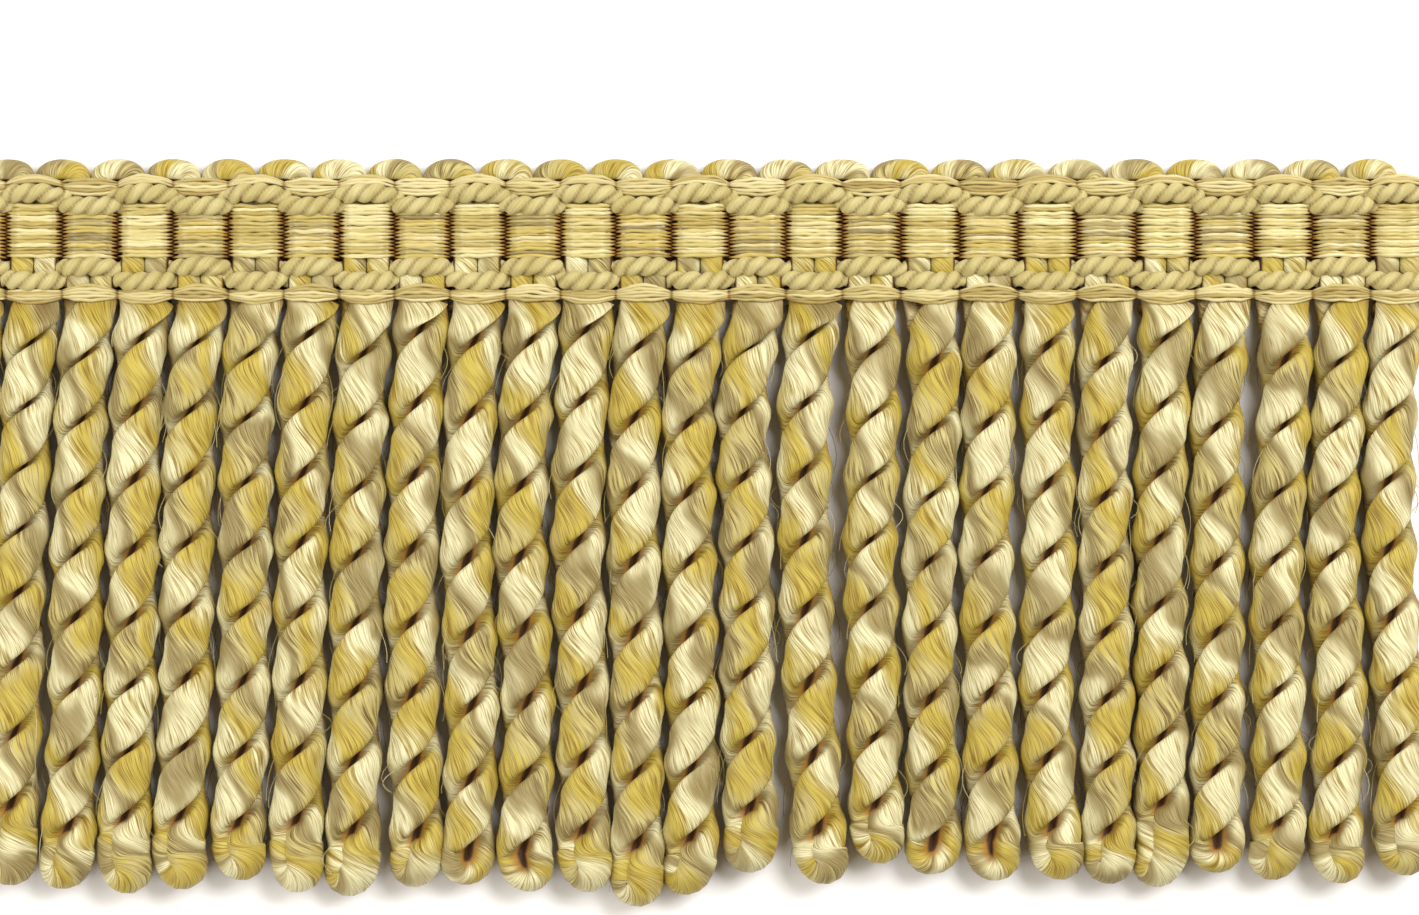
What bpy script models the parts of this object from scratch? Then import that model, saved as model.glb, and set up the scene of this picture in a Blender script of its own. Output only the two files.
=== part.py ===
"""A cut length of bullion fringe: a woven heading with twisted cords hanging from its lower edge.

The trim lies face up. X runs along its length, Y points to the scalloped edge of the heading and
Z is up. The origin is on the flat underside of the heading, at its centre.
"""

import math
from collections.abc import Callable
from typing import NamedTuple

import bmesh
import bpy

MM = 0.001
COLLECTION = "cord_fringe_trim"
HELPERS = "cord_fringe_helpers"

HEADING_EDGE_Y = -7.3  # where the cords leave the heading
GAP = 0.3  # between the heading and the backings, and between the two backings
BACKING_WIDTH = 1.2
BACKING_SAG = 0.25  # how far the backing's lower edge sags over each cord
BACKING_HEIGHT = 2.7
BACKING_VALLEY_HEIGHT = 2.1
CORDS_IN_LEFT_HALF = 13

UPPER_DEPTH = 9.7  # depths below the heading at which the table gives a cord's axis
MIDDLE_DEPTH = 24.7
LOWER_DEPTH = 39.7

CORD_RADIUS = 2.5
PLY_SHOULDER = (1.5, 1.8)  # from the cord's axis, along and across the pair of plies
PLY_GROOVE = 0.75
STEPS_PER_TURN = 7
ROOT_DEPTH = -0.7  # the first ring is buried in the backing
ROOT_SIZE = 0.66
ROOT_HEIGHT = 1.7
FULL_SIZE_DEPTH = 2.8
TIP_LENGTH = 2.3
TIP_STATIONS = (0.0, 0.62, 0.93)  # along the rounded tip
TIP_CAP = 0.985


class Cord(NamedTuple):
    """One hanging cord in millimetres: the x of its axis at five depths, its length, and the
    depths at which its two plies cross for the first, fifth and eighth time."""

    root: float
    upper: float
    middle: float
    lower: float
    tip: float
    length: float
    first: float
    fifth: float
    eighth: float


CORDS = (
    Cord(-73.3, -73.7, -74.6, -75.1, -75.9, 58.1, 4.2, 30.9, 51.2),
    Cord(-67.7, -68.3, -69.0, -69.4, -70.2, 58.3, 4.2, 28.9, 50.0),
    Cord(-62.1, -62.8, -63.3, -63.5, -64.4, 58.7, 5.4, 31.4, 52.2),
    Cord(-56.6, -57.3, -57.7, -57.9, -58.9, 59.1, 3.7, 31.7, 51.2),
    Cord(-51.0, -51.9, -52.3, -52.4, -53.4, 58.7, 4.2, 30.7, 51.2),
    Cord(-45.5, -46.3, -46.4, -46.7, -47.4, 57.8, 5.2, 30.7, 51.9),
    Cord(-39.9, -40.5, -40.9, -41.0, -41.5, 59.0, 3.2, 30.9, 51.5),
    Cord(-34.4, -34.9, -35.3, -35.5, -35.8, 59.4, 5.2, 31.9, 52.5),
    Cord(-28.8, -29.3, -29.8, -29.7, -29.0, 58.5, 2.7, 31.9, 52.9),
    Cord(-23.3, -23.9, -24.3, -23.8, -24.3, 58.2, 3.9, 32.9, 54.7),
    Cord(-17.7, -18.4, -19.0, -18.2, -18.8, 58.9, 3.9, 32.5, 54.2),
    Cord(-12.2, -12.8, -13.2, -12.7, -12.6, 59.0, 2.7, 30.9, 52.5),
    Cord(-6.7, -7.5, -7.6, -7.3, -7.3, 60.5, 4.4, 32.7, 53.9),
    Cord(-1.0, -2.1, -2.1, -1.8, -2.0, 59.3, 5.1, 32.7, 53.2),
    Cord(4.8, 3.3, 3.7, 3.7, 4.3, 57.1, 4.5, 30.2, 50.2),
    Cord(10.4, 9.5, 9.5, 10.0, 11.2, 58.2, 3.2, 30.4, 52.4),
    Cord(16.1, 16.4, 16.0, 16.4, 16.7, 56.1, 4.7, 30.0, 49.9),
    Cord(22.1, 22.5, 21.9, 22.1, 22.5, 57.2, 5.9, 32.4, 53.2),
    Cord(27.9, 27.8, 27.6, 27.9, 28.3, 57.8, 5.2, 31.9, 52.9),
    Cord(33.8, 33.7, 33.9, 33.6, 34.7, 57.8, 4.2, 31.7, 51.9),
    Cord(39.7, 39.4, 39.5, 39.7, 39.9, 58.2, 5.7, 32.7, 52.4),
    Cord(45.7, 45.3, 44.9, 45.1, 45.2, 58.5, 3.4, 30.0, 49.7),
    Cord(51.5, 50.7, 50.7, 50.7, 50.6, 57.0, 5.4, 32.7, 53.2),
    Cord(57.4, 57.5, 56.6, 56.8, 56.8, 57.8, 5.5, 31.9, 51.7),
    Cord(63.3, 62.8, 62.2, 63.0, 62.2, 58.1, 5.7, 31.7, 52.4),
    Cord(69.0, 68.0, 67.9, 68.8, 69.2, 57.4, 4.2, 30.9, 50.9),
)


class HeadingRow(NamedTuple):
    """One row of the heading's relief in millimetres: its y, and the heights of the ridges in the
    columns where the outer warp cord floats, in the other columns, and between columns."""

    y: float
    outer: float
    inner: float
    between: float


HEADING_ROWS = (
    HeadingRow(-5.8, 2.4, 2.4, 1.8),  # beside the backing
    HeadingRow(-5.1, 3.4, 2.7, 2.1),  # outer warp cord, bare weft
    HeadingRow(-3.6, 2.7, 3.4, 2.1),  # bare weft, inner warp cord
    HeadingRow(-2.7, 2.7, 2.8, 1.6),
    HeadingRow(-1.5, 3.0, 2.9, 1.2),  # satin floats
    HeadingRow(0.0, 3.1, 3.0, 1.2),
    HeadingRow(1.4, 3.0, 2.8, 1.4),
    HeadingRow(2.4, 2.7, 3.4, 2.1),  # satin floats, inner warp cord
    HeadingRow(3.7, 3.4, 2.6, 2.2),  # outer warp cord, flat band
    HeadingRow(5.0, 2.5, 2.4, 2.1),  # flat band
    HeadingRow(6.1, 1.9, 1.9, 2.5),  # loops that cross from column to column
    HeadingRow(7.2, 1.1, 1.1, 1.2),  # outer edge of the loops
)
LINES_PER_COLUMN = 4  # of the heading's grid: the column's edge, a ridge, its middle, a ridge
MIDDLE_LINE = 2
SCALLOP_DIP = 0.9  # how far the outer edge falls back at the middle of a column
SCALLOP_SHOULDER = 0.3
RIDGE_OFFSET = 0.25  # of a column's pitch, from its middle to each of its two weft ridges
MIDDLE_DROP = 0.15  # between those two ridges


def clear_scene() -> None:
    """Removes every object of the scene that is open."""
    for obj in list(bpy.data.objects):
        bpy.data.objects.remove(obj, do_unlink=True)


def new_collection(name: str, hidden: bool = False) -> bpy.types.Collection:
    """Returns a new collection of the scene."""
    collection = bpy.data.collections.new(name)
    collection.hide_render = hidden
    bpy.context.scene.collection.children.link(collection)
    return collection


def yarn_material(
    name: str, colour: tuple[float, float, float], roughness: float
) -> bpy.types.Material:
    """Returns a Principled material for yarn."""
    material = bpy.data.materials.new(name)
    material.use_nodes = True
    shader = material.node_tree.nodes["Principled BSDF"]
    shader.inputs["Base Color"].default_value = (*colour, 1.0)
    shader.inputs["Roughness"].default_value = roughness
    shader.inputs["Metallic"].default_value = 0.0
    return material


def smoothstep(share: float) -> float:
    """Returns a share eased at both of its ends, held between 0 and 1."""
    share = min(max(share, 0.0), 1.0)
    return share * share * (3.0 - 2.0 * share)


def column_edges() -> list[float]:
    """Returns the x of each edge between neighbouring columns of the heading, ends included."""
    roots = [cord.root for cord in CORDS]
    inside = [(left + right) / 2 for left, right in zip(roots, roots[1:])]
    first = roots[0] - (inside[0] - roots[0])
    last = roots[-1] + (roots[-1] - inside[-1])
    return [first, *inside, last]


def axis_x(cord: Cord, depth: float) -> float:
    """Returns the x of a cord's axis at a depth, on a smooth curve through the table's points."""
    depths = (0.0, UPPER_DEPTH, MIDDLE_DEPTH, LOWER_DEPTH, cord.length)
    places = (cord.root, cord.upper, cord.middle, cord.lower, cord.tip)
    depth = min(max(depth, 0.0), cord.length)
    last = len(depths) - 1
    span = max(i for i in range(last) if depths[i] <= depth)
    slopes = []
    for i in (span, span + 1):
        before = max(i - 1, 0)
        after = min(i + 1, last)
        slopes.append((places[after] - places[before]) / (depths[after] - depths[before]))
    run = depths[span + 1] - depths[span]
    t = (depth - depths[span]) / run
    start = places[span] * (1 + 2 * t) * (1 - t) ** 2 + places[span + 1] * t * t * (3 - 2 * t)
    return start + run * (slopes[0] * t * (1 - t) ** 2 - slopes[1] * t * t * (1 - t))


def lay_angle(cord: Cord, depth: float) -> float:
    """Returns the turn of a cord's two plies at a depth. They lie side by side where they cross."""
    if depth < cord.fifth:
        crossings = 1 + 4 * (depth - cord.first) / (cord.fifth - cord.first)
    else:
        crossings = 5 + 3 * (depth - cord.fifth) / (cord.eighth - cord.fifth)
    return math.pi * crossings


def ring_depths(cord: Cord) -> list[float]:
    """Returns the depths of a cord's sections: even steps of its twist, then the rounded tip."""
    tip_start = cord.length - TIP_LENGTH
    turns = (lay_angle(cord, tip_start) - lay_angle(cord, ROOT_DEPTH)) / (2 * math.pi)
    steps = round(turns * STEPS_PER_TURN)
    body = [ROOT_DEPTH + (tip_start - ROOT_DEPTH) * i / steps for i in range(steps)]
    return body + [tip_start + TIP_LENGTH * share for share in (*TIP_STATIONS, TIP_CAP)]


def ring_size(cord: Cord, depth: float) -> float:
    """Returns the size of a cord's section: squeezed under the heading and rounded at the tip."""
    share = (depth - cord.length + TIP_LENGTH) / TIP_LENGTH
    if share > 0:
        return math.sqrt(max(1 - share * share, 0.0))
    return ROOT_SIZE + (1 - ROOT_SIZE) * smoothstep(depth / FULL_SIZE_DEPTH)


def ply_profile(helpers: bpy.types.Collection) -> bpy.types.Object:
    """Returns the section of two plies side by side, as a closed flat curve in metres."""
    along, across = PLY_SHOULDER
    half = [(CORD_RADIUS, 0.0), (along, across), (0.0, PLY_GROOVE), (-along, across)]
    points = half + [(-x, -y) for x, y in half]
    curve = bpy.data.curves.new("ply_profile", "CURVE")
    curve.dimensions = "2D"
    spline = curve.splines.new("POLY")
    spline.points.add(len(points) - 1)
    for point, (x, y) in zip(spline.points, points):
        point.co = (x * MM, y * MM, 0.0, 1.0)
    spline.use_cyclic_u = True
    obj = bpy.data.objects.new("ply_profile", curve)
    obj.hide_render = True
    obj.display_type = "WIRE"
    helpers.objects.link(obj)
    return obj


def cord_curve(cord: Cord, profile: bpy.types.Object) -> bpy.types.Curve:
    """Returns a cord as a curve that carries the two-ply section, turned a step at each point."""
    curve = bpy.data.curves.new("cord", "CURVE")
    curve.dimensions = "3D"
    curve.twist_mode = "Z_UP"
    curve.bevel_mode = "OBJECT"
    curve.bevel_object = profile
    curve.use_fill_caps = True
    depths = ring_depths(cord)
    spline = curve.splines.new("POLY")
    spline.points.add(len(depths) - 1)
    for point, depth in zip(spline.points, depths):
        rise = smoothstep(depth / FULL_SIZE_DEPTH)
        height = ROOT_HEIGHT + (CORD_RADIUS - ROOT_HEIGHT) * rise
        place = (axis_x(cord, depth), HEADING_EDGE_Y - depth, height)
        point.co = (*(value * MM for value in place), 1.0)
        point.radius = ring_size(cord, depth)
        point.tilt = lay_angle(cord, depth)
    return curve


def joined_cords(
    name: str,
    cords: tuple[Cord, ...],
    profile: bpy.types.Object,
    helpers: bpy.types.Collection,
) -> bpy.types.Object:
    """Returns the cords of one backing as a hidden mesh of closed, separate bodies."""
    bm = bmesh.new()
    for cord in cords:
        curve = cord_curve(cord, profile)
        guide = bpy.data.objects.new("cord_guide", curve)
        helpers.objects.link(guide)
        bpy.context.view_layer.update()
        evaluated = guide.evaluated_get(bpy.context.evaluated_depsgraph_get())
        mesh = bpy.data.meshes.new_from_object(evaluated)
        bm.from_mesh(mesh)
        bpy.data.objects.remove(guide)
        bpy.data.curves.remove(curve)
        bpy.data.meshes.remove(mesh)
    bmesh.ops.remove_doubles(bm, verts=bm.verts, dist=1e-6)
    bmesh.ops.recalc_face_normals(bm, faces=bm.faces)
    # Each twisted face is cut along the lay of the plies, which keeps them smooth.
    bmesh.ops.triangulate(bm, faces=bm.faces, quad_method="ALTERNATE")
    mesh = bpy.data.meshes.new(name)
    bm.to_mesh(mesh)
    bm.free()
    obj = bpy.data.objects.new(name, mesh)
    obj.hide_render = True
    obj.display_type = "WIRE"
    helpers.objects.link(obj)
    return obj


def relief_slab(name: str, columns: int, rows: int, place: Callable) -> bpy.types.Mesh:
    """Returns a slab with a flat underside at z = 0 and a shaped top.

    place(column, row) gives the corner of the top at those grid lines, in millimetres.
    """
    bm = bmesh.new()
    bmesh.ops.create_grid(bm, x_segments=columns, y_segments=rows, size=0.5)
    for vert in bm.verts:
        column = round((vert.co.x + 0.5) * columns)
        row = round((vert.co.y + 0.5) * rows)
        vert.co = [value * MM for value in place(column, row)]
    rim = [edge for edge in bm.edges if edge.is_boundary]
    wall = bmesh.ops.extrude_edge_only(bm, edges=rim)["geom"]
    for vert in wall:
        if isinstance(vert, bmesh.types.BMVert):
            vert.co.z = 0.0
    base = [edge for edge in wall if isinstance(edge, bmesh.types.BMEdge) and edge.is_boundary]
    bmesh.ops.contextual_create(bm, geom=base)
    bmesh.ops.recalc_face_normals(bm, faces=bm.faces)
    mesh = bpy.data.meshes.new(name)
    bm.to_mesh(mesh)
    bm.free()
    mesh.shade_smooth()
    mesh.set_sharp_from_angle(angle=math.radians(50))
    return mesh


def heading_mesh() -> bpy.types.Mesh:
    """Returns the woven heading, with its rows and columns raised in its face."""
    edges = column_edges()

    def place(column: int, row: int) -> tuple[float, float, float]:
        index, line = divmod(column, LINES_PER_COLUMN)
        relief = HEADING_ROWS[row]
        if line == 0:
            return edges[index], relief.y, relief.between
        pitch = edges[index + 1] - edges[index]
        x = CORDS[index].root + (line - MIDDLE_LINE) * RIDGE_OFFSET * pitch
        y = relief.y
        if row == len(HEADING_ROWS) - 1:
            y -= SCALLOP_DIP if line == MIDDLE_LINE else SCALLOP_SHOULDER
        height = relief.outer if index % 2 else relief.inner
        if line == MIDDLE_LINE:
            height -= MIDDLE_DROP
        return x, y, height

    return relief_slab("heading", LINES_PER_COLUMN * len(CORDS), len(HEADING_ROWS) - 1, place)


def backing_mesh(name: str, first: int, last: int) -> bpy.types.Mesh:
    """Returns the narrow backing under which the cords from first to last leave the heading."""
    edges = column_edges()[first : last + 1]
    edges[0] += GAP / 2
    edges[-1] -= GAP / 2
    upper_y = HEADING_ROWS[0].y - GAP

    def place(column: int, row: int) -> tuple[float, float, float]:
        index, middle = divmod(column, 2)
        y = upper_y
        if row == 0:
            y -= BACKING_WIDTH + (BACKING_SAG if middle else 0.0)
        if middle:
            return CORDS[first + index].root, y, BACKING_HEIGHT
        return edges[index], y, BACKING_VALLEY_HEIGHT

    return relief_slab(name, 2 * (last - first), 1, place)


def fringe(
    name: str,
    first: int,
    last: int,
    profile: bpy.types.Object,
    helpers: bpy.types.Collection,
) -> bpy.types.Object:
    """Returns one backing with its cords fused to it at their roots."""
    obj = bpy.data.objects.new(name, backing_mesh(name, first, last))
    cords = joined_cords(f"{name}_cords", CORDS[first:last], profile, helpers)
    union = obj.modifiers.new("cords", "BOOLEAN")
    union.operation = "UNION"
    union.object = cords
    return obj


def main() -> None:
    """Builds the heading and the two halves of the fringe."""
    clear_scene()
    parts = new_collection(COLLECTION)
    helpers = new_collection(HELPERS, hidden=True)
    heading_yarn = yarn_material("heading_yarn", (0.60, 0.50, 0.24), 0.75)
    fringe_yarn = yarn_material("fringe_yarn", (0.66, 0.54, 0.26), 0.55)

    heading = bpy.data.objects.new("heading", heading_mesh())
    heading.data.materials.append(heading_yarn)
    parts.objects.link(heading)

    profile = ply_profile(helpers)
    halves = {
        "fringe_left": (0, CORDS_IN_LEFT_HALF),
        "fringe_right": (CORDS_IN_LEFT_HALF, len(CORDS)),
    }
    for name, (first, last) in halves.items():
        half = fringe(name, first, last, profile, helpers)
        half.data.materials.append(fringe_yarn)
        parts.objects.link(half)


main()
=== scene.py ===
"""Looks of the cord fringe trim: yarns, threads and their finishes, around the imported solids.

Lengths are in millimetres until a point is placed, and the trim lies face up on the floor.
"""

import logging
import math
import random
from collections.abc import Callable, Iterator, Sequence
from dataclasses import dataclass, replace
from enum import Enum

import bmesh
import bpy
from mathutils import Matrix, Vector, noise


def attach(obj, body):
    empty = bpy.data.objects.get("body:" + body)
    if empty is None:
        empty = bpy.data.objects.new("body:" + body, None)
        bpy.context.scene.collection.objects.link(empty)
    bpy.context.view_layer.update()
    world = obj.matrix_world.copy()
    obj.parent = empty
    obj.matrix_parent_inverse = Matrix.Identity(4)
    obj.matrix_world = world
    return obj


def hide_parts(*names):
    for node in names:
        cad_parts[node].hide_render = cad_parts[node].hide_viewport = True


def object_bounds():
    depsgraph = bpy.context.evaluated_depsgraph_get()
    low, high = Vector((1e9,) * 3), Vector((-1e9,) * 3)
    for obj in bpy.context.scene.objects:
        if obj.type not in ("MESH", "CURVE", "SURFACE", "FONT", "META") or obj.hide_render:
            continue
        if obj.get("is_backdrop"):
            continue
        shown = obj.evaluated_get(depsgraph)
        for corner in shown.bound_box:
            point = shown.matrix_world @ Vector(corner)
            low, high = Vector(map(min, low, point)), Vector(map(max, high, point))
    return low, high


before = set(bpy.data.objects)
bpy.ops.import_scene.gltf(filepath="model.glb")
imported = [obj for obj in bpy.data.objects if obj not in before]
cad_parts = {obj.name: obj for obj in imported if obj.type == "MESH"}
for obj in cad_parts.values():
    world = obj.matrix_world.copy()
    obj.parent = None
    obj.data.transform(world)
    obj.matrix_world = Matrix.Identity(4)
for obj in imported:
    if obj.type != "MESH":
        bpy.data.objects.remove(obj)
CAD_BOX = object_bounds()

MM = 0.001
YARN_UV = "yarn"  # across: round the yarn, up: along it, in turns of its strands
CREASE_SHADE_MASK = "crease_shade_mask"  # painted crease shade: 0 on a yarn's crown, 1 in the crease beside it
TONE = "tone"  # a thread's own shade, from 0 to 1
PINCH_START = 0.3  # cosine of the angle at which a ply starts to narrow towards its partner
PINCH_RUN = 0.9  # over which it narrows
GROOVE_POWER = 1.3  # how sharp the groove between two strands is
GROOVE_LIT = 0.35  # the share of a groove that is not in shadow

log = logging.getLogger("fringe")


class ColumnKind(Enum):
    """Which warp cords lie on top of a column of the heading: the outer or the inner two."""

    INNER = 0
    OUTER = 1


class Edge(Enum):
    """The two flat bands of fine threads that edge the heading."""

    TOP = "top"
    BOTTOM = "bottom"


@dataclass(frozen=True)
class Cord:
    """One cord of the fringe, in millimetres."""

    root: float  # x of the axis under the heading
    upper: float  # and at the three depths below
    middle: float
    lower: float
    tip: float
    length: float  # below the heading's lower edge
    first: float  # depths at which the plies lie side by side
    fifth: float
    eighth: float


CORDS = (
    Cord(-73.3, -73.7, -74.6, -75.1, -75.9, 58.1, 4.2, 30.9, 51.2),
    Cord(-67.7, -68.3, -69.0, -69.4, -70.2, 58.3, 4.2, 28.9, 50.0),
    Cord(-62.1, -62.8, -63.3, -63.5, -64.4, 58.7, 5.4, 31.4, 52.2),
    Cord(-56.6, -57.3, -57.7, -57.9, -58.9, 59.1, 3.7, 31.7, 51.2),
    Cord(-51.0, -51.9, -52.3, -52.4, -53.4, 58.7, 4.2, 30.7, 51.2),
    Cord(-45.5, -46.3, -46.4, -46.7, -47.4, 57.8, 5.2, 30.7, 51.9),
    Cord(-39.9, -40.5, -40.9, -41.0, -41.5, 59.0, 3.2, 30.9, 51.5),
    Cord(-34.4, -34.9, -35.3, -35.5, -35.8, 59.4, 5.2, 31.9, 52.5),
    Cord(-28.8, -29.3, -29.8, -29.7, -29.0, 58.5, 2.7, 31.9, 52.9),
    Cord(-23.3, -23.9, -24.3, -23.8, -24.3, 58.2, 3.9, 32.9, 54.7),
    Cord(-17.7, -18.4, -19.0, -18.2, -18.8, 58.9, 3.9, 32.5, 54.2),
    Cord(-12.2, -12.8, -13.2, -12.7, -12.6, 59.0, 2.7, 30.9, 52.5),
    Cord(-6.7, -7.5, -7.6, -7.3, -7.3, 60.5, 4.4, 32.7, 53.9),
    Cord(-1.0, -2.1, -2.1, -1.8, -2.0, 59.3, 5.1, 32.7, 53.2),
    Cord(4.8, 3.3, 3.7, 3.7, 4.3, 57.1, 4.5, 30.2, 50.2),
    Cord(10.4, 9.5, 9.5, 10.0, 11.2, 58.2, 3.2, 30.4, 52.4),
    Cord(16.1, 16.4, 16.0, 16.4, 16.7, 56.1, 4.7, 30.0, 49.9),
    Cord(22.1, 22.5, 21.9, 22.1, 22.5, 57.2, 5.9, 32.4, 53.2),
    Cord(27.9, 27.8, 27.6, 27.9, 28.3, 57.8, 5.2, 31.9, 52.9),
    Cord(33.8, 33.7, 33.9, 33.6, 34.7, 57.8, 4.2, 31.7, 51.9),
    Cord(39.7, 39.4, 39.5, 39.7, 39.9, 58.2, 5.7, 32.7, 52.4),
    Cord(45.7, 45.3, 44.9, 45.1, 45.2, 58.5, 3.4, 30.0, 49.7),
    Cord(51.5, 50.7, 50.7, 50.7, 50.6, 57.0, 5.4, 32.7, 53.2),
    Cord(57.4, 57.5, 56.6, 56.8, 56.8, 57.8, 5.5, 31.9, 51.7),
    Cord(63.3, 62.8, 62.2, 63.0, 62.2, 58.1, 5.7, 31.7, 52.4),
    Cord(69.0, 68.0, 67.9, 68.8, 69.2, 57.4, 4.2, 30.9, 50.9),
)


def smoothstep(share: float) -> float:
    """Returns a share eased at both of its ends, held between 0 and 1."""
    share = min(max(share, 0.0), 1.0)
    return share * share * (3.0 - 2.0 * share)


def mix(start: float, end: float, share: float) -> float:
    """Returns the value that lies at a share of the way from start to end."""
    return start + (end - start) * share


def linear(red: int, green: int, blue: int) -> tuple[float, float, float, float]:
    """Returns a colour as the shader takes it, from the three values that a screen shows."""
    return (*(((value / 255 + 0.055) / 1.055) ** 2.4 for value in (red, green, blue)), 1.0)


@dataclass(frozen=True)
class Layout:
    """Where the columns of the heading and the cords below them lie, as in the solids."""

    cords: tuple[Cord, ...] = CORDS
    heading_edge: float = -7.3  # y of the heading's lower edge
    upper_depth: float = 9.7
    middle_depth: float = 24.7
    lower_depth: float = 39.7
    left_half: int = 13  # cords in the left half of the fringe
    quickness: float = 0.26  # how much faster the plies turn where they cross

    def edges(self) -> list[float]:
        """Returns the x of each edge between neighbouring columns, ends included."""
        roots = [cord.root for cord in self.cords]
        inside = [(left + right) / 2 for left, right in zip(roots, roots[1:])]
        first = roots[0] - (inside[0] - roots[0])
        last = roots[-1] + (roots[-1] - inside[-1])
        return [first, *inside, last]

    def kind(self, index: int) -> ColumnKind:
        """Returns which warp cords lie on top of a column."""
        return ColumnKind.OUTER if index % 2 else ColumnKind.INNER

    def axis_x(self, cord: Cord, depth: float) -> float:
        """Returns the x of a cord's axis at a depth, on a smooth curve through the table's points.

        Args:
            cord: The cord.
            depth: How far below the heading's lower edge.

        Returns:
            The x of the axis in millimetres.
        """
        depths = (0.0, self.upper_depth, self.middle_depth, self.lower_depth, cord.length)
        places = (cord.root, cord.upper, cord.middle, cord.lower, cord.tip)
        depth = min(max(depth, 0.0), cord.length)
        last = len(depths) - 1
        span = max(i for i in range(last) if depths[i] <= depth)
        slopes = []
        for i in (span, span + 1):
            before = max(i - 1, 0)
            after = min(i + 1, last)
            slopes.append((places[after] - places[before]) / (depths[after] - depths[before]))
        run = depths[span + 1] - depths[span]
        t = (depth - depths[span]) / run
        start = places[span] * (1 + 2 * t) * (1 - t) ** 2 + places[span + 1] * t * t * (3 - 2 * t)
        return start + run * (slopes[0] * t * (1 - t) ** 2 - slopes[1] * t * t * (1 - t))

    def lay_angle(self, cord: Cord, depth: float) -> float:
        """Returns the turn of a cord's two plies at a depth. They lie side by side where they cross."""
        if depth < cord.fifth:
            crossings = 1 + 4 * (depth - cord.first) / (cord.fifth - cord.first)
        else:
            crossings = 5 + 3 * (depth - cord.fifth) / (cord.eighth - cord.fifth)
        even = math.pi * crossings
        return even + self.quickness / 2 * math.sin(2 * even)


@dataclass(frozen=True)
class Ring:
    """One section of a yarn: where it lies, how large it is and what its surface carries."""

    centre: Vector
    out: Vector  # a unit vector in the section's plane, where its angle is 0
    half_out: float  # half its size along out
    half_side: float  # half its size across out
    along: float = 0.0  # length of the yarn up to here, in turns of its strands
    tone: float = 0.5
    shadow: float = 0.0  # painted shade for the whole section, where it lies deep in a crease
    gain: float = 1.0  # how much closer the strands turn here
    closed: float = 0.0  # how much of the crease beside a partner is closed here


def with_lengths(rings: Sequence[Ring], turn: float, start: float) -> list[Ring]:
    """Returns the rings with their place along the yarn filled in.

    Args:
        rings: The yarn's sections, in order.
        turn: The length in which the yarn's strands turn once.
        start: The turn at which the first ring lies.

    Returns:
        The same rings with along set.
    """
    counted = []
    along = start
    for index, ring in enumerate(rings):
        if index:
            along += (ring.centre - rings[index - 1].centre).length / turn * ring.gain
        counted.append(replace(ring, along=along))
    return counted


@dataclass(frozen=True)
class Section:
    """The outline of a yarn's section: an ellipse with its strands and its crease, and the painted
    shade at each point.
    """

    sides: int
    strands: int = 0  # that stand out as ribs round the yarn
    groove: float = 0.0  # depth of the line between two strands, as a share of the size
    pinch: float = 0.0  # how much narrower the half that faces a partner gets towards it
    unevenness: float = 0.0
    deep_from: float | None = None  # share of a half turn from out at which the painted crease shade starts

    def point(self, angle: float, ring: Ring, seed: float) -> tuple[float, float, float]:
        """Returns a point of the outline.

        Args:
            angle: The angle from the ring's out direction.
            ring: The section.
            seed: Where in the noise this yarn lies.

        Returns:
            Its distances along out and across it, and how much painted crease shade it gets, from 0 to
            1.
        """
        cosine, sine = math.cos(angle), math.sin(angle)
        out = cosine * ring.half_out
        side = sine * ring.half_side
        narrowing = smoothstep((PINCH_START - cosine) / PINCH_RUN)
        side *= 1 - self.pinch * (1 - ring.closed) * narrowing
        size = 1.0
        crease_shade_mask = 0.0
        # painted shade: darker towards the partner ply and in the grooves between strands
        if self.deep_from is not None:
            crease_shade_mask = smoothstep((abs(angle) / math.pi - self.deep_from) / (1 - self.deep_from))
            crease_shade_mask *= 1 - ring.closed
        if self.strands:
            turned = angle / (2 * math.pi) + ring.along
            rib = abs(math.cos(math.pi * self.strands * turned))
            size -= self.groove * (1 - rib) ** GROOVE_POWER
            crease_shade_mask = smoothstep((1 - rib - GROOVE_LIT) / (1 - GROOVE_LIT))
        if self.unevenness:
            place = Vector((cosine * 0.9, sine * 0.9, ring.along * 2.1 + seed))
            size += self.unevenness * noise.noise(place)
        return out * size, side * size, max(crease_shade_mask, ring.shadow)


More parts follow.
